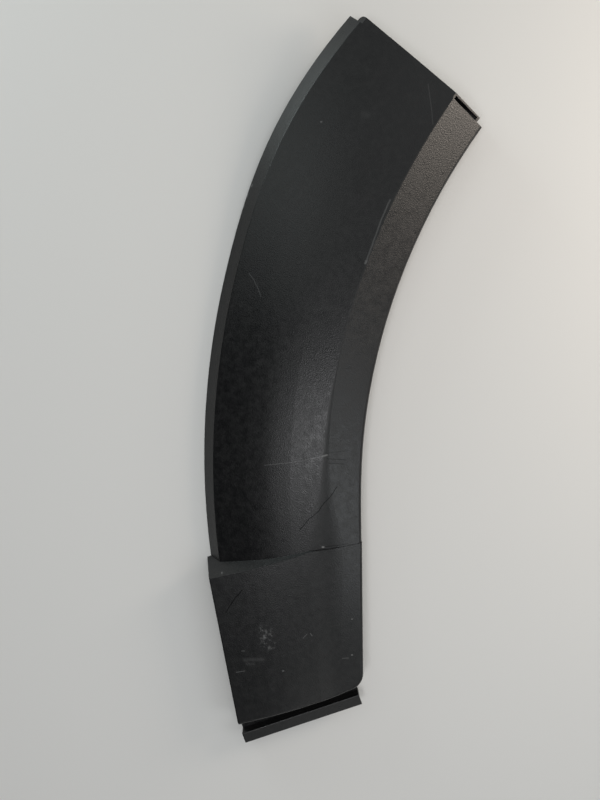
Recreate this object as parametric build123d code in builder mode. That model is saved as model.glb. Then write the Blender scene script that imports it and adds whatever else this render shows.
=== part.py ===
"""Wheel-arch molding of a car's front bumper: one moulded piece of black plastic.

The molding lies face up on its back, as it comes to rest: +Z is out of its face, +Y runs towards the
end that meets the fender and +X towards the wheel. It is drawn about the wheel's axis, with angles in
degrees from +X, and is then set down with its origin under the middle of its box. All sizes are in mm.
"""
import os
from math import cos, degrees, radians, sin, sqrt, tan

from build123d import *

# Plan of the arch, seen face on
ARCH_RADIUS = 391.3  # wheel opening edge, at the top end
ARCH_SPREAD = 1.3  # how far it opens towards its lower end
ARCH_END_ANGLE = 181.0  # below here the opening edge runs straight
TOP_ANGLE = 145.3  # end that meets the fender, on the lip crease
TOP_SKEW = 4.0  # turn of that end away from the radius
TOP_LEAN = 15.0  # lean of that end away from upright
OUTER_WIDTH = 144.6  # radius of the arch's outer edge, over that of the opening edge
OUTER_SHIFT_X = 37.9  # centre of the outer edge, from the wheel's axis
OUTER_SHIFT_Y = 7.8
OUTER_TUCK = 10.6  # how far the outer edge draws in at the top end
OUTER_TUCK_ANGLE = 158.0  # where it starts to draw in
LEDGE_ANGLE = 186.4  # ledge between the arch and the lower panel
PANEL_SIDE_WIDTH = 105.7  # straight outer side of the lower panel, out from the opening edge's radius
PANEL_SIDE_ANGLE = 190.1  # way that this side faces
PANEL_END_ANGLE = 199.5  # lower end of the panel

# Skin of the arch, heights above the edge it rests on
WALL = 2.8
EDGE_HEIGHT = 18.0  # wheel opening edge
EDGE_RADIUS = 3.0
LIP_WIDTH = 24.7  # from the opening edge to the crease
CREASE_HEIGHT_TOP = 33.0
CREASE_HEIGHT_LEDGE = 27.0
CREASE_RADIUS_TOP = 1.2
CREASE_RADIUS_LEDGE = 60.0
CREASE_FADE = 8  # the higher, the later the crease opens out
CROWN_TOP = 1.5  # swell of the main face
CROWN_LEDGE = 3.5
CHAMFER_WIDTH_TOP = 8.8
CHAMFER_WIDTH_LEDGE = 6.8
CHAMFER_DROP = 8.0
CHAMFER_RADIUS = 1.0
RIM_LIFT = 14.0  # outer edge above the resting plane at the top end
RIM_LIFT_ANGLE = 168.0  # where the outer edge starts to lift

# Lower panel
PANEL_PROUD = 0.3  # how far it stands over the arch at the lip
PANEL_SIDE_HEIGHT = 18.5
PANEL_SIDE_DRAFT = 6.0  # lean of the outer side, in degrees
PANEL_EDGE_RISE = 2.2  # rise of the opening edge towards the lower end
PANEL_CREASE_DROP = 1.5  # fall of the face there
PANEL_CROWN = 2.0
PANEL_EDGE_RADIUS = 2.5
PANEL_SIDE_RADIUS = 1.2
PANEL_CORNER_RADIUS = 11.0  # lower corner beside the wheel, in plan
LEDGE_FACING = 111.0  # way that the ledge faces, in plan
LEDGE_SLOPE = 62.8
LEDGE_FADE_WIDTH = 34.5  # where the ledge runs out into the face, out from the opening edge's radius
LEDGE_FADE_ANGLE = 185.7
SEAM_FACING = 95.0  # faint seam from there to the wheel opening, in plan
LEDGE_LAP = 2.0  # arch skin carried on under the panel

# Tongue at the top end, tucked under the next molding, with its slot beside the lip
TONGUE_LENGTH_INNER = 3.4  # beside the wheel
TONGUE_LENGTH_OUTER = 4.4
TONGUE_ROOT = 7.0
TONGUE_STEP = 2.2  # below the skin
TONGUE_WALL = 2.2
TONGUE_OUTER_REACH = 75.0  # from the crease towards the outer edge
TONGUE_CORNER_RADIUS = 3.0
SLOT_WIDTH = 2.5
SLOT_START = 0.5  # from the crease
SLOT_LENGTH = 18.0
SLOT_DEPTH = 22.0  # below the crease
POCKET_WALL = 1.4
TONGUE_INNER_REACH = SLOT_START + SLOT_LENGTH + POCKET_WALL  # from the crease towards the wheel

# Hooked flange at the lower end
HOOK_FLOOR = 5.0
HOOK_WALL = 2.6
HOOK_GROOVE = 9.6
HOOK_BAR_HEIGHT = 12.0
HOOK_BAR_WIDTH = 7.6
HOOK_EDGE_RADIUS = 0.8
HOOK_INNER_GAP = 5.8  # short of the opening edge
HOOK_OUTER_REACH = 1.4  # past the panel's side

# Return flange with its screw holes
SCREW_ANGLES = [155.5, 173.5, 192.5]
SCREW_RADIUS = 2.75
SCREW_HEIGHT = 8.0
TAB_WIDTH = 28.0
RELIEF_HEIGHT = 4.0  # flange cut back between its tabs

# Ribs and clip seats on the hidden side
RIB_ANGLES = [150.0, 164.5, 183.0]
RIB_WALL = 1.6
RIB_DEPTH = 7.0
SEAT_ANGLES = [157.5, 171.5, 193.0]
SEAT_OFFSET = 64.7  # out from the opening edge's radius
SEAT_HEIGHT = 5.0
SEAT_PLATE = 2.2
SEAT_WALL = 1.8
SEAT_LENGTH = 22.0
SEAT_WIDTH = 17.0
SEAT_SLOT_WIDTH = 7.0
SEAT_SLOT_LENGTH = 14.0

# Working allowances
UNDER = 6.0  # solids start this far below the resting plane
SPARE = 8.0  # cutters reach this far past what they cut
TALL = 60.0  # upright cutters and walls pass through the whole skin
UPRIGHT_LIMIT = 0.05
STATION_STEP = 5.0
STATION_SPARE = 5.0  # sections past the ends, in degrees
CROWN_RUN = 0.8  # share of each half of the face taken up by its curve
INNER_RADIUS_MIN = 0.4


def between(first, last, share):
    """Value on the straight run from first to last."""
    return first + (last - first) * share


def radial(angle):
    """Level direction away from the wheel's axis."""
    return Vector(cos(radians(angle)), sin(radians(angle)), 0)


def station(angle):
    """Upright section plane through the wheel's axis, with x away from it and y up."""
    outward = radial(angle)
    return Plane(origin=(0, 0, 0), x_dir=outward, z_dir=outward.cross(Vector(0, 0, 1)))


def opening_edge(angle):
    """Distance of the wheel opening edge: an arc that opens a little, then a straight run on from it."""
    share = min((angle - TOP_ANGLE) / (ARCH_END_ANGLE - TOP_ANGLE), 1)
    return (ARCH_RADIUS + ARCH_SPREAD * share) / cos(radians(max(angle - ARCH_END_ANGLE, 0)))


def outer_edge(angle):
    """Distance of the arch's outer edge, a circle about its own centre that draws in at the top end."""
    shift = Vector(OUTER_SHIFT_X, OUTER_SHIFT_Y, 0)
    along = shift.dot(radial(angle))
    tuck = max(OUTER_TUCK_ANGLE - angle, 0) / (OUTER_TUCK_ANGLE - TOP_ANGLE)
    radius = ARCH_RADIUS + OUTER_WIDTH
    return along + sqrt(along**2 - shift.length**2 + radius**2) - OUTER_TUCK * tuck**2


def panel_side(angle):
    """Distance of the lower panel's straight outer side."""
    return (ARCH_RADIUS + PANEL_SIDE_WIDTH) / cos(radians(angle - PANEL_SIDE_ANGLE))


def swell(first, last, crown):
    """Middle corner of a face that swells by the crown."""
    return (first + last) * 0.5 + Vector(0, crown)


def arch_share(angle):
    """How far along the arch a station lies: 0 at the top end, 1 at the ledge."""
    return (angle - TOP_ANGLE) / (LEDGE_ANGLE - TOP_ANGLE)


def crease_height(angle):
    """Height of the crease, falling evenly along the arch."""
    return between(CREASE_HEIGHT_TOP, CREASE_HEIGHT_LEDGE, arch_share(angle))


def arch_corners(angle):
    """Corners of the arch's skin: flange foot, opening edge, crease, face, chamfer, rim."""
    lift = max(RIM_LIFT_ANGLE - angle, 0) / (RIM_LIFT_ANGLE - TOP_ANGLE)
    inner = opening_edge(angle)
    outer = outer_edge(angle)
    rim = RIM_LIFT * lift**2
    crease = Vector(inner + LIP_WIDTH, crease_height(angle))
    chamfer = between(CHAMFER_WIDTH_TOP, CHAMFER_WIDTH_LEDGE, arch_share(angle))
    shoulder = Vector(outer - chamfer, rim + CHAMFER_DROP)
    return [
        Vector(inner, -UNDER),
        Vector(inner, EDGE_HEIGHT),
        crease,
        swell(crease, shoulder, between(CROWN_TOP, CROWN_LEDGE, arch_share(angle))),
        shoulder,
        Vector(outer, rim),
    ]


def panel_corners(angle):
    """Corners of the lower panel's skin: flange foot, opening edge, crease, face, outer side, foot."""
    share = max(angle - LEDGE_ANGLE, 0) / (PANEL_END_ANGLE - LEDGE_ANGLE)
    inner = opening_edge(angle) - PANEL_PROUD
    outer = panel_side(angle)
    crease = Vector(inner + LIP_WIDTH, crease_height(angle) + PANEL_PROUD - PANEL_CREASE_DROP * share**2)
    side = Vector(outer, PANEL_SIDE_HEIGHT)
    return [
        Vector(inner, -UNDER),
        Vector(inner, EDGE_HEIGHT + PANEL_PROUD + PANEL_EDGE_RISE * share**2),
        crease,
        swell(crease, side, PANEL_CROWN),
        side,
        Vector(outer + (PANEL_SIDE_HEIGHT + UNDER) * tan(radians(PANEL_SIDE_DRAFT)), -UNDER),
    ]


def moved_in(corners, depth):
    """The same line of corners, moved square to itself towards the hidden side."""
    normals = [
        Vector(end.Y - start.Y, start.X - end.X).normalized() for start, end in zip(corners, corners[1:])
    ]
    moved = [corners[0] + normals[0] * depth]
    for corner, before, after in zip(corners[1:], normals, normals[1:]):
        moved.append(corner + (before + after) * (depth / (1 + before.dot(after))))
    return moved + [corners[-1] + normals[-1] * depth]


def crown_radius(corners):
    """Radius that turns the two halves of the face into one curve."""
    first, middle, last = corners[2:5]
    run = CROWN_RUN * min((middle - first).length, (last - middle).length) / 2
    return run / tan(radians((middle - first).get_angle(last - middle)) / 2)


def crease_radius(angle):
    """Radius of the crease, which is sharp along the arch and opens out close to the ledge."""
    share = min(max(arch_share(angle), 0), 1)
    return between(CREASE_RADIUS_TOP, CREASE_RADIUS_LEDGE, share**CREASE_FADE)


def skin_section(angle, corners, radii, depth=0, past=0):
    """Section under a skin line moved in by depth, reaching past its last corner and below its foot."""
    line = moved_in(corners, depth)
    rounding = [max(radius - depth, INNER_RADIUS_MIN) if radius else 0 for radius in radii]
    foot = line[0].Y - depth - SPARE
    far = line[-1].X + past
    closing = [(far, foot), (line[0].X, foot), line[0]]
    with BuildSketch(station(angle)) as section:
        with BuildLine():
            FilletPolyline(*line, radius=rounding)
            Polyline(line[-1], *[(far, line[-1].Y)] * bool(past), *closing)
        make_face()
    return section.sketch


def arch_section(angle, depth=0, past=0):
    """Section of the arch at a station."""
    corners = arch_corners(angle)
    radii = [EDGE_RADIUS, crease_radius(angle), crown_radius(corners), CHAMFER_RADIUS]
    return skin_section(angle, corners, radii, depth, past)


def panel_section(angle, depth=0):
    """Section of the lower panel at a station, with sharp edges along its two sides."""
    corners = panel_corners(angle)
    radii = [0, crease_radius(angle), crown_radius(corners), 0]
    return skin_section(angle, corners, radii, depth)


def stations(first, last):
    """Even section angles over a stretch and a little past it."""
    start = first - STATION_SPARE
    end = last + STATION_SPARE
    count = round((end - start) / STATION_STEP)
    return [between(start, end, index / count) for index in range(count + 1)]


ARCH_STATIONS = stations(TOP_ANGLE, LEDGE_ANGLE)
PANEL_STATIONS = stations(LEDGE_ANGLE, PANEL_END_ANGLE)

# Planes of the two ends and the ledge
crease_end = radial(TOP_ANGLE) * (ARCH_RADIUS + LIP_WIDTH) + Vector(0, 0, CREASE_HEIGHT_TOP)
top_out = radial(TOP_ANGLE - TOP_SKEW - 90) * cos(radians(TOP_LEAN)) + Vector(0, 0, sin(radians(TOP_LEAN)))
TOP_END = Plane(origin=crease_end, x_dir=radial(TOP_ANGLE - TOP_SKEW), z_dir=top_out)
TOP_PLAN = Plane(origin=crease_end, x_dir=TOP_END.x_dir, z_dir=TOP_END.y_dir)
PANEL_END = station(PANEL_END_ANGLE)
fade_radius = ARCH_RADIUS + LEDGE_FADE_WIDTH
ledge_fade = radial(LEDGE_FADE_ANGLE) * fade_radius + Vector(0, 0, CREASE_HEIGHT_LEDGE)
ledge_out = radial(LEDGE_FACING) * sin(radians(LEDGE_SLOPE)) + Vector(0, 0, cos(radians(LEDGE_SLOPE)))
LEDGE = Plane(origin=ledge_fade, z_dir=ledge_out)
SEAM = Plane(origin=ledge_fade, z_dir=radial(SEAM_FACING))


# Room that the lower panel takes up behind its ledge and seam
with BuildPart() as panel_room:
    with BuildSketch(Plane.XY.offset(-TALL)):
        with Locations((ledge_fade.X, ledge_fade.Y)):
            Rectangle(ARCH_RADIUS, ARCH_RADIUS)
    extrude(amount=2 * TALL)
    split(bisect_by=LEDGE.offset(-LEDGE_LAP), keep=Keep.BOTTOM)
    split(bisect_by=SEAM.offset(-LEDGE_LAP), keep=Keep.BOTTOM)

# Arch: a full body under its skin, cut off at the fender end and lapped under the ledge
with BuildPart() as arch_body:
    loft([arch_section(angle) for angle in ARCH_STATIONS])
    split(bisect_by=TOP_END, keep=Keep.BOTTOM)
    add(panel_room.part, mode=Mode.SUBTRACT)

# Lower panel: a body from the ledge down, rounded beside the wheel and along its edges
panel_corner = radial(PANEL_END_ANGLE) * opening_edge(PANEL_END_ANGLE)
side_top = radial(PANEL_SIDE_ANGLE) * panel_side(PANEL_SIDE_ANGLE) + Vector(0, 0, PANEL_SIDE_HEIGHT)
with BuildPart() as panel_body:
    loft([panel_section(angle) for angle in PANEL_STATIONS])
    split(bisect_by=LEDGE, keep=Keep.BOTTOM)
    split(bisect_by=PANEL_END, keep=Keep.TOP)
    fillet(panel_body.edges().sort_by_distance(panel_corner)[0], PANEL_CORNER_RADIUS)
    upright = panel_body.faces().filter_by(lambda face: abs(face.normal_at().Z) < UPRIGHT_LIMIT)
    panel_rim = upright.edges().filter_by_position(Axis.Z, EDGE_HEIGHT / 2, TALL)
    fillet(panel_rim, PANEL_EDGE_RADIUS)
    fillet(panel_body.edges().sort_by_distance(side_top)[0], PANEL_SIDE_RADIUS)
    split(bisect_by=SEAM, keep=Keep.BOTTOM)

# Hollow of the arch, one wall inside its skin, where thin ribs hang from the skin
with BuildPart() as arch_hollow:
    loft([arch_section(angle, WALL, SPARE) for angle in ARCH_STATIONS])
    for angle in RIB_ANGLES:
        rib_start = opening_edge(angle)
        rib_end = outer_edge(angle) - CHAMFER_WIDTH_TOP - WALL
        with BuildSketch(station(angle)):
            with Locations(((rib_start + rib_end) / 2, 0)):
                Rectangle(rib_end - rib_start, 2 * TALL)
        extrude(amount=RIB_WALL / 2, both=True, mode=Mode.SUBTRACT)
    loft([arch_section(angle, WALL + RIB_DEPTH, SPARE) for angle in ARCH_STATIONS])

# Hollow of the lower panel, one wall inside its skin, its ledge and its end
with BuildPart() as panel_hollow:
    loft([panel_section(angle, WALL) for angle in PANEL_STATIONS])
    split(bisect_by=LEDGE.offset(-WALL), keep=Keep.BOTTOM)
    split(bisect_by=SEAM.offset(-WALL), keep=Keep.BOTTOM)
    split(bisect_by=PANEL_END.offset(WALL), keep=Keep.TOP)
    fillet(panel_hollow.edges().sort_by_distance(panel_corner)[0], PANEL_CORNER_RADIUS - WALL)

# Clip seats: open-sided towers with a slotted plate, which the clips slide into
with BuildPart() as seats:
    for angle in SEAT_ANGLES:
        seat_foot = radial(angle) * (ARCH_RADIUS + SEAT_OFFSET) + Vector(0, 0, SEAT_HEIGHT)
        seat_plane = Plane(origin=seat_foot, x_dir=radial(angle), z_dir=(0, 0, 1))
        with BuildSketch(seat_plane):
            Rectangle(SEAT_WIDTH, SEAT_LENGTH)
        extrude(amount=TALL)
        with BuildSketch(seat_plane.offset(SEAT_PLATE)):
            with Locations((0, SEAT_WALL)):
                Rectangle(SEAT_WIDTH - 2 * SEAT_WALL, SEAT_LENGTH)
        extrude(amount=TALL, mode=Mode.SUBTRACT)
        with BuildSketch(seat_plane):
            with Locations((0, SEAT_LENGTH / 2)):
                SlotOverall(2 * SEAT_SLOT_LENGTH, SEAT_SLOT_WIDTH, rotation=90)
        extrude(amount=SEAT_PLATE, mode=Mode.SUBTRACT)

with BuildPart() as hollow:
    add(arch_hollow.part)
    add(panel_hollow.part)
    add(seats.part, mode=Mode.SUBTRACT)

# Tongue at the top end: a step below the skin, with a blind slot moulded in beside the lip
with BuildPart() as tongue_hollow:
    loft([arch_section(angle, TONGUE_STEP + TONGUE_WALL, SPARE) for angle in ARCH_STATIONS])
    with BuildSketch(TOP_PLAN.offset(-SLOT_DEPTH - POCKET_WALL)):
        with Locations((POCKET_WALL - SLOT_START, POCKET_WALL)):
            Rectangle(TALL, SLOT_WIDTH + 2 * POCKET_WALL, align=(Align.MAX, Align.MAX))
    extrude(amount=TALL, mode=Mode.SUBTRACT)

with BuildPart() as tongue:
    loft([arch_section(angle, TONGUE_STEP) for angle in ARCH_STATIONS])
    with BuildSketch(TOP_PLAN):
        with BuildLine():
            Polyline(
                (-TONGUE_INNER_REACH, TONGUE_ROOT),
                (-TONGUE_INNER_REACH, -TONGUE_LENGTH_INNER),
                (TONGUE_OUTER_REACH, -TONGUE_LENGTH_OUTER),
                (TONGUE_OUTER_REACH, TONGUE_ROOT),
                close=True,
            )
        make_face()
        fillet(vertices().group_by(Axis.X)[-1].sort_by(Axis.Y)[0], TONGUE_CORNER_RADIUS)
    extrude(amount=TALL, both=True, mode=Mode.INTERSECT)
    add(tongue_hollow.part, mode=Mode.SUBTRACT)
    with BuildSketch(TOP_PLAN.offset(-SLOT_DEPTH)):
        with Locations((-SLOT_START - SLOT_LENGTH / 2, -SLOT_WIDTH / 2)):
            Rectangle(SLOT_LENGTH, SLOT_WIDTH)
    extrude(amount=TALL, mode=Mode.SUBTRACT)

# Hooked flange at the lower end: a groove with a bar behind it
hook_start = opening_edge(PANEL_END_ANGLE) + HOOK_INNER_GAP
hook_plane = Plane(
    origin=radial(PANEL_END_ANGLE) * hook_start, x_dir=-PANEL_END.z_dir, z_dir=radial(PANEL_END_ANGLE)
)
with BuildPart() as hook:
    with BuildSketch(hook_plane):
        with BuildLine():
            Polyline(
                (-WALL, HOOK_FLOOR - HOOK_WALL),
                (HOOK_GROOVE + HOOK_WALL, HOOK_FLOOR - HOOK_WALL),
                (HOOK_GROOVE + HOOK_WALL, HOOK_BAR_HEIGHT - HOOK_WALL),
                (HOOK_GROOVE + HOOK_BAR_WIDTH, HOOK_BAR_HEIGHT - HOOK_WALL),
                (HOOK_GROOVE + HOOK_BAR_WIDTH, HOOK_BAR_HEIGHT),
                (HOOK_GROOVE, HOOK_BAR_HEIGHT),
                (HOOK_GROOVE, HOOK_FLOOR),
                (-WALL, HOOK_FLOOR),
                close=True,
            )
        make_face()
        fillet(vertices().group_by(Axis.Y)[-1], HOOK_EDGE_RADIUS)
    extrude(amount=panel_side(PANEL_END_ANGLE) + HOOK_OUTER_REACH - hook_start)

# Cuts in the return flange: reliefs between its tabs, and the screw holes
tab_half = degrees(TAB_WIDTH / 2 / ARCH_RADIUS)
tab_angles = [TOP_ANGLE, *[angle for angle in SCREW_ANGLES if angle < ARCH_END_ANGLE], LEDGE_FADE_ANGLE]
with BuildPart() as flange_cuts:
    for tab, next_tab in zip(tab_angles, tab_angles[1:]):
        with BuildSketch(station(tab + tab_half)):
            with Locations((ARCH_RADIUS + (WALL + RIB_DEPTH) / 2, 0)):
                Rectangle(RIB_DEPTH + 3 * WALL, 2 * RELIEF_HEIGHT)
        revolve(axis=Axis.Z, revolution_arc=next_tab - tab - 2 * tab_half)
    for angle in SCREW_ANGLES:
        screw_foot = radial(angle) * opening_edge(angle) + Vector(0, 0, SCREW_HEIGHT)
        with BuildSketch(Plane(origin=screw_foot, z_dir=radial(min(angle, ARCH_END_ANGLE)))):
            Circle(SCREW_RADIUS)
        extrude(amount=2 * WALL, both=True)

# The whole molding, cut off level at its resting plane
with BuildPart() as molding:
    add(arch_body.part)
    add(panel_body.part)
    add(hollow.part, mode=Mode.SUBTRACT)
    add(tongue.part)
    add(hook.part)
    add(flange_cuts.part, mode=Mode.SUBTRACT)
    split(bisect_by=Plane.XY)

# Set down with the origin under the middle of its box
box = molding.part.bounding_box()
arch_molding = molding.part.moved(Location((-box.center().X, -box.center().Y, -box.min.Z)))

os.makedirs("parts", exist_ok=True)
arch_molding.label = "arch_molding"
export_step(arch_molding, "parts/arch_molding.step")
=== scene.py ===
from math import radians

import bpy
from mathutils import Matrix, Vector

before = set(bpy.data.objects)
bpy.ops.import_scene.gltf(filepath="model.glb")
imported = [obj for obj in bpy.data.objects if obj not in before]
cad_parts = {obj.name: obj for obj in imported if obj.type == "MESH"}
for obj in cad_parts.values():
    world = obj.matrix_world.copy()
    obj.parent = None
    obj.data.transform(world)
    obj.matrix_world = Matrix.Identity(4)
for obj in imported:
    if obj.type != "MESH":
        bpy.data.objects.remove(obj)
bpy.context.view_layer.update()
scene = bpy.context.scene
scene.view_settings.view_transform = "Standard"


# Marks of use: a shader group that gives the mask of one straight stroke across the face, seen from
# above. Scratches, cracks and dots are rows of such strokes, with a wander so that none is dead straight.
stroke = bpy.data.node_groups.new("stroke", "ShaderNodeTree")
for name in ("Place", "Start", "End"):
    stroke.interface.new_socket(name, in_out="INPUT", socket_type="NodeSocketVector")
for name in ("Width", "Strength"):
    stroke.interface.new_socket(name, in_out="INPUT", socket_type="NodeSocketFloat")
stroke.interface.new_socket("Mask", in_out="OUTPUT", socket_type="NodeSocketFloat")
group_in = stroke.nodes.new("NodeGroupInput")
group_out = stroke.nodes.new("NodeGroupOutput")
run = stroke.nodes.new("ShaderNodeVectorMath")
run.operation = "SUBTRACT"
offset = stroke.nodes.new("ShaderNodeVectorMath")
offset.operation = "SUBTRACT"
along = stroke.nodes.new("ShaderNodeVectorMath")
along.operation = "DOT_PRODUCT"
span = stroke.nodes.new("ShaderNodeVectorMath")
span.operation = "DOT_PRODUCT"
share = stroke.nodes.new("ShaderNodeMath")
share.operation = "DIVIDE"
share.use_clamp = True
foot = stroke.nodes.new("ShaderNodeVectorMath")
foot.operation = "SCALE"
gap = stroke.nodes.new("ShaderNodeVectorMath")
gap.operation = "DISTANCE"
fade = stroke.nodes.new("ShaderNodeMapRange")
fade.interpolation_type = "SMOOTHSTEP"
fade.inputs["From Min"].default_value = 0
fade.inputs["To Max"].default_value = 0
for start, end in (
    (group_in.outputs["End"], run.inputs[0]),
    (group_in.outputs["Start"], run.inputs[1]),
    (group_in.outputs["Place"], offset.inputs[0]),
    (group_in.outputs["Start"], offset.inputs[1]),
    (offset.outputs["Vector"], along.inputs[0]),
    (run.outputs["Vector"], along.inputs[1]),
    (run.outputs["Vector"], span.inputs[0]),
    (run.outputs["Vector"], span.inputs[1]),
    (along.outputs["Value"], share.inputs[0]),
    (span.outputs["Value"], share.inputs[1]),
    (run.outputs["Vector"], foot.inputs[0]),
    (share.outputs["Value"], foot.inputs["Scale"]),
    (offset.outputs["Vector"], gap.inputs[0]),
    (foot.outputs["Vector"], gap.inputs[1]),
    (gap.outputs["Value"], fade.inputs["Value"]),
    (group_in.outputs["Width"], fade.inputs["From Max"]),
    (group_in.outputs["Strength"], fade.inputs["To Min"]),
    (fade.outputs["Result"], group_out.inputs["Mask"]),
):
    stroke.links.new(start, end)


# Molding: one injection-moulded piece of black polypropylene with a fine grain. The shape is the CAD
# node's own; the surface gets its grain, an uneven sheen, dust and the scratches and scuffs of use.
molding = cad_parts["arch_molding"]
plastic = bpy.data.materials.new("grained_black_plastic")
plastic.use_nodes = True
nodes, links = plastic.node_tree.nodes, plastic.node_tree.links
shader = nodes["Principled BSDF"]
shader.inputs["IOR"].default_value = 1.5
place = nodes.new("ShaderNodeTexCoord").outputs["Object"]

# Flattened place, with a small wander, for the marks
mm = 0.001
wander_reach = 0.7 * mm
wander = nodes.new("ShaderNodeTexNoise")
wander.inputs["Scale"].default_value = 260
wander.inputs["Detail"].default_value = 3
links.new(place, wander.inputs["Vector"])
wander_size = nodes.new("ShaderNodeVectorMath")
wander_size.operation = "MULTIPLY_ADD"
wander_size.inputs[1].default_value = (wander_reach, wander_reach, 0)
links.new(wander.outputs["Color"], wander_size.inputs[0])
flat = nodes.new("ShaderNodeVectorMath")
flat.operation = "MULTIPLY"
flat.inputs[1].default_value = (1, 1, 0)
links.new(place, flat.inputs[0])
links.new(flat.outputs["Vector"], wander_size.inputs[2])
marked_place = wander_size.outputs["Vector"]

# Pale marks and dark marks, in mm on the face: points, width, strength
pale_marks = [
    ([(51.0, 192.2), (52.9, 180.6), (54.2, 168.9)], 0.5, 0.10),
    ([(13.6, 176.4), (15.5, 176.0)], 3.5, 0.05),
    ([(-12.2, 174.1), (-11.8, 174.1)], 0.9, 0.35),
    ([(29.4, 125.1), (24.7, 114.5), (20.0, 101.4), (15.3, 88.2)], 0.8, 0.24),
    ([(15.5, 88.9), (15.0, 87.6)], 1.2, 0.4),
    ([(-57.9, 83.4), (-54.6, 78.9), (-52.0, 73.7), (-50.0, 67.9)], 0.45, 0.22),
    ([(-47.9, -40.3), (-28.3, -37.3), (-7.9, -32.1)], 0.4, 0.28),
    ([(-11.0, -33.0), (-7.9, -32.1)], 0.9, 0.5),
    ([(-61.9, -172.8), (-50.3, -171.4)], 2.2, 0.10),
    ([(-60.5, -175.5), (-56.0, -175.0)], 1.8, 0.08),
    ([(-68.1, -182.1), (-62.0, -180.7)], 0.5, 0.3),
    ([(-64.0, -166.5), (-62.0, -166.3)], 0.7, 0.25),
    ([(-36.6, -178.9), (-36.0, -178.8)], 0.8, 0.5),
    ([(-23.0, -155.3), (-20.4, -152.4)], 0.5, 0.25),
    ([(-18.0, -151.8), (-17.1, -153.6)], 0.5, 0.35),
    ([(9.3, -144.0), (9.8, -144.0)], 0.7, 0.5),
    ([(9.5, -168.9), (10.0, -168.9)], 0.8, 0.55),
    ([(3.2, -170.4), (7.4, -170.7)], 0.45, 0.25),
    ([(-77.2, -113.7), (-76.8, -113.7)], 0.7, 0.5),
    ([(-10.4, -93.2), (-9.8, -93.2)], 1.0, 0.8),
    ([(-56.0, 140.0), (-56.4, 139.0)], 0.8, 0.5),
    ([(-58.7, 134.5), (-59.3, 132.8)], 0.7, 0.45),
    ([(-61.4, 127.7), (-61.9, 126.0)], 0.8, 0.4),
]
dark_marks = [
    (
        [(-1.1, -53.6), (-5.8, -59.8), (-9.6, -63.5), (-13.5, -69.5), (-19.2, -74.4), (-25.1, -82.1)],
        0.5,
        0.75,
    ),
    ([(-63.3, -123.8), (-67.4, -128.8), (-70.9, -133.9), (-74.3, -139.9)], 0.7, 0.7),
    ([(-7.9, -34.4), (4.0, -36.2)], 0.4, 0.5),
    ([(-6.5, -37.4), (3.4, -39.0)], 0.4, 0.5),
    ([(-8.0, -31.0), (6.0, -30.0)], 0.4, 0.35),
    ([(-9.0, -92.9), (6.4, -92.3)], 0.5, 0.5),
]
mark_masks = []
for marks in (pale_marks, dark_marks):
    mask = None
    for points, width, strength in marks:
        for start, end in zip(points, points[1:]):
            mark = nodes.new("ShaderNodeGroup")
            mark.node_tree = stroke
            for socket, (x, y) in (("Start", start), ("End", end)):
                mark.inputs[socket].default_value = (x * mm + wander_reach / 2, y * mm + wander_reach / 2, 0)
            mark.inputs["Width"].default_value = width * mm
            mark.inputs["Strength"].default_value = strength
            links.new(marked_place, mark.inputs["Place"])
            if mask is None:
                mask = mark.outputs["Mask"]
            else:
                most = nodes.new("ShaderNodeMath")
                most.operation = "MAXIMUM"
                links.new(mask, most.inputs[0])
                links.new(mark.outputs["Mask"], most.inputs[1])
                mask = most.outputs["Value"]
    mark_masks.append(mask)
pale_mask, dark_mask = mark_masks

# Scuffed patch on the lower panel: specks inside a soft round
scuff = nodes.new("ShaderNodeGroup")
scuff.node_tree = stroke
scuff.inputs["Start"].default_value = (-47.8 * mm, -151.5 * mm, 0)
scuff.inputs["End"].default_value = (-45.5 * mm, -160.0 * mm, 0)
scuff.inputs["Width"].default_value = 7.5 * mm
scuff.inputs["Strength"].default_value = 1
links.new(marked_place, scuff.inputs["Place"])
speck = nodes.new("ShaderNodeTexNoise")
speck.inputs["Scale"].default_value = 420
speck.inputs["Detail"].default_value = 4
links.new(place, speck.inputs["Vector"])
speck_edge = nodes.new("ShaderNodeMapRange")
speck_edge.inputs["From Min"].default_value = 0.52
speck_edge.inputs["From Max"].default_value = 0.68
speck_edge.inputs["To Max"].default_value = 0.5
links.new(speck.outputs["Fac"], speck_edge.inputs["Value"])
scuff_mask = nodes.new("ShaderNodeMath")
scuff_mask.operation = "MULTIPLY"
links.new(scuff.outputs["Mask"], scuff_mask.inputs[0])
links.new(speck_edge.outputs["Result"], scuff_mask.inputs[1])
wear = nodes.new("ShaderNodeMath")
wear.operation = "MAXIMUM"
links.new(pale_mask, wear.inputs[0])
links.new(scuff_mask.outputs["Value"], wear.inputs[1])

# Colour: near black with slow cloudy change and a thin dusty haze, paler where worn
cloud = nodes.new("ShaderNodeTexNoise")
cloud.inputs["Scale"].default_value = 28
cloud.inputs["Detail"].default_value = 5
links.new(place, cloud.inputs["Vector"])
tint = nodes.new("ShaderNodeMix")
tint.data_type = "RGBA"
tint.inputs["A"].default_value = (0.0022, 0.0028, 0.0027, 1)
tint.inputs["B"].default_value = (0.0042, 0.0040, 0.0050, 1)
links.new(cloud.outputs["Fac"], tint.inputs["Factor"])
haze = nodes.new("ShaderNodeTexNoise")
haze.inputs["Scale"].default_value = 240
haze.inputs["Detail"].default_value = 6
haze.inputs["Roughness"].default_value = 0.7
links.new(place, haze.inputs["Vector"])
haze_share = nodes.new("ShaderNodeMapRange")
haze_share.inputs["From Min"].default_value = 0.45
haze_share.inputs["From Max"].default_value = 0.75
haze_share.inputs["To Max"].default_value = 0.025
links.new(haze.outputs["Fac"], haze_share.inputs["Value"])
dusty = nodes.new("ShaderNodeMix")
dusty.data_type = "RGBA"
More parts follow.
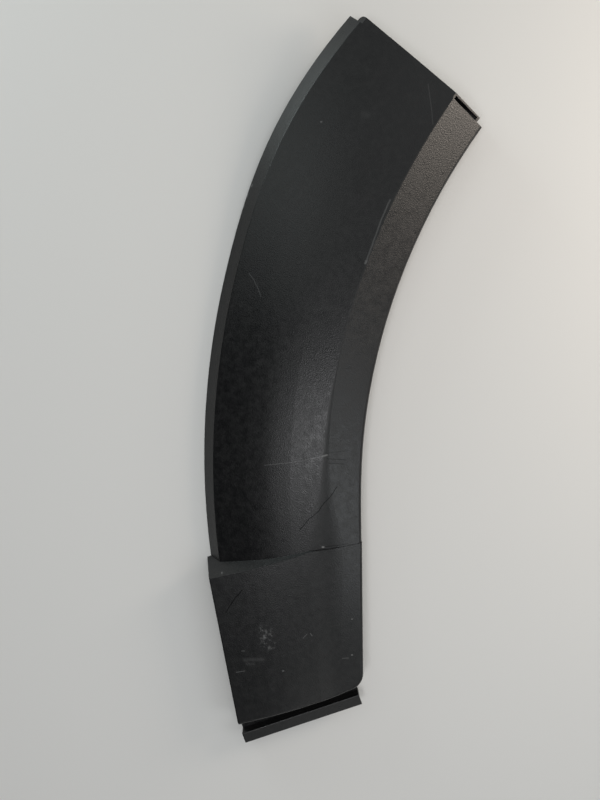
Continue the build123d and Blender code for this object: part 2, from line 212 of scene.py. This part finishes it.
dusty.inputs["B"].default_value = (0.16, 0.155, 0.145, 1)
links.new(haze_share.outputs["Result"], dusty.inputs["Factor"])
links.new(tint.outputs["Result"], dusty.inputs["A"])
worn = nodes.new("ShaderNodeMix")
worn.data_type = "RGBA"
worn.inputs["B"].default_value = (0.22, 0.22, 0.22, 1)
links.new(wear.outputs["Value"], worn.inputs["Factor"])
links.new(dusty.outputs["Result"], worn.inputs["A"])
links.new(worn.outputs["Result"], shader.inputs["Base Color"])

# Sheen: satin, uneven with the haze and dead in the dark marks
gloss = nodes.new("ShaderNodeMapRange")
gloss.inputs["From Min"].default_value = 0.3
gloss.inputs["From Max"].default_value = 0.7
gloss.inputs["To Min"].default_value = 0.27
gloss.inputs["To Max"].default_value = 0.42
links.new(haze.outputs["Fac"], gloss.inputs["Value"])
links.new(gloss.outputs["Result"], shader.inputs["Roughness"])
dead = nodes.new("ShaderNodeMapRange")
dead.inputs["To Min"].default_value = 0.5
dead.inputs["To Max"].default_value = 0
links.new(dark_mask, dead.inputs["Value"])
links.new(dead.outputs["Result"], shader.inputs["Specular IOR Level"])

# Grain: fine moulded pebbles, somewhat over half a millimetre across
pebble = nodes.new("ShaderNodeTexVoronoi")
pebble.feature = "SMOOTH_F1"
pebble.inputs["Scale"].default_value = 1500
links.new(place, pebble.inputs["Vector"])
grain = nodes.new("ShaderNodeBump")
grain.inputs["Strength"].default_value = 0.5
grain.inputs["Distance"].default_value = 0.12 * mm
links.new(pebble.outputs["Distance"], grain.inputs["Height"])
links.new(grain.outputs["Normal"], shader.inputs["Normal"])
for index in range(len(molding.data.materials)):
    molding.data.materials[index] = plastic


# Floor: a plain pale sheet that the molding lies on. It is matt, has no piece of its own in the part,
# and is only there to carry the shadow and to be mirrored in the chamfer.
floor_mesh = bpy.data.meshes.new("floor")
floor_mesh.from_pydata([(-3, -3, 0), (3, -3, 0), (3, 3, 0), (-3, 3, 0)], [], [(0, 1, 2, 3)])
floor = bpy.data.objects.new("floor", floor_mesh)
scene.collection.objects.link(floor)
paper = bpy.data.materials.new("pale_sheet")
paper.use_nodes = True
paper_shader = paper.node_tree.nodes["Principled BSDF"]
paper_shader.inputs["Base Color"].default_value = (0.75, 0.745, 0.73, 1)
paper_shader.inputs["Roughness"].default_value = 0.9
paper_shader.inputs["Specular IOR Level"].default_value = 0.1
floor_mesh.materials.append(paper)


# Room: an even pale sky, dark on the outer side so that the outer half of the face stays black, and
# dimmer far out on the wheel side and the near side. Three ramps on the direction are multiplied.
world = bpy.data.worlds.new("room")
scene.world = world
world.use_nodes = True
sky, sky_links = world.node_tree.nodes, world.node_tree.links
direction = sky.new("ShaderNodeTexCoord")
side = sky.new("ShaderNodeSeparateXYZ")
sky_links.new(direction.outputs["Generated"], side.inputs["Vector"])
sky["Background"].inputs["Color"].default_value = (0.98, 1.0, 1.0, 1)
brightness = None
for axis, first, last, first_level, last_level in (
    ("X", -0.66, -0.02, 0.02, 0.60),
    ("X", 0.45, 0.80, 1, 0.55),
    ("Y", -0.58, -0.25, 0.45, 1),
):
    ramp = sky.new("ShaderNodeMapRange")
    ramp.interpolation_type = "SMOOTHSTEP"
    ramp.inputs["From Min"].default_value = first
    ramp.inputs["From Max"].default_value = last
    ramp.inputs["To Min"].default_value = first_level
    ramp.inputs["To Max"].default_value = last_level
    sky_links.new(side.outputs[axis], ramp.inputs["Value"])
    if brightness is None:
        brightness = ramp.outputs["Result"]
    else:
        product = sky.new("ShaderNodeMath")
        product.operation = "MULTIPLY"
        sky_links.new(brightness, product.inputs[0])
        sky_links.new(ramp.outputs["Result"], product.inputs[1])
        brightness = product.outputs["Value"]
sky_links.new(brightness, sky["Background"].inputs["Strength"])


# Lamps: a soft overhead lamp with a fill beside it, a warm window low on the wheel side, a pale one
# further down that side, two cool ones beyond the top end and a weak one at the near end. Each is
# a square turned to face the stretch of the molding that it lights.
for name, spot, aim, size, power, colour in (
    ("overhead", (-0.25, -0.165, 0.89), (-0.02, -0.03, 0), 0.22, 1.3, (0.98, 0.98, 1.0)),
    ("warm_window", (0.52, 0.215, 0.22), (0.08, 0.17, 0.02), 0.20, 1.6, (1.0, 0.88, 0.76)),
    ("pale_window", (0.45, -0.24, 0.42), (0.0, -0.06, 0.02), 0.24, 0.36, (0.94, 0.98, 1.0)),
    ("cool_window", (-0.42, 0.36, 0.55), (-0.04, 0.11, 0.02), 0.30, 0.30, (0.94, 1.0, 0.98)),
    ("low_cool_window", (-0.47, 0.58, 0.17), (0.0, 0.18, 0.02), 0.26, 1.0, (0.88, 1.0, 1.0)),
    ("high_fill", (0.13, -0.20, 0.92), (0.0, -0.06, 0.02), 0.30, 0.32, (0.98, 0.99, 1.0)),
    ("near_window", (0.10, -0.76, 0.56), (0.0, -0.18, 0.02), 0.28, 0.26, (1.0, 1.0, 0.96)),
):
    lamp_data = bpy.data.lights.new(name, "AREA")
    lamp_data.size = size
    lamp_data.energy = power
    lamp_data.color = colour
    lamp = bpy.data.objects.new(name, lamp_data)
    lamp.location = spot
    lamp.rotation_euler = (Vector(aim) - Vector(spot)).to_track_quat("-Z", "Y").to_euler()
    scene.collection.objects.link(lamp)


# Camera: held over the molding as for the photograph, nearly square to the floor, with the wide
# lens of a phone.
camera_data = bpy.data.cameras.new("camera")
camera_data.lens = 28.8
camera_data.sensor_width = 36
camera = bpy.data.objects.new("camera", camera_data)
camera.location = (-0.02504, 0.04524, 0.42883)
camera.rotation_euler = (radians(-6), 0, 0)
scene.collection.objects.link(camera)
scene.camera = camera
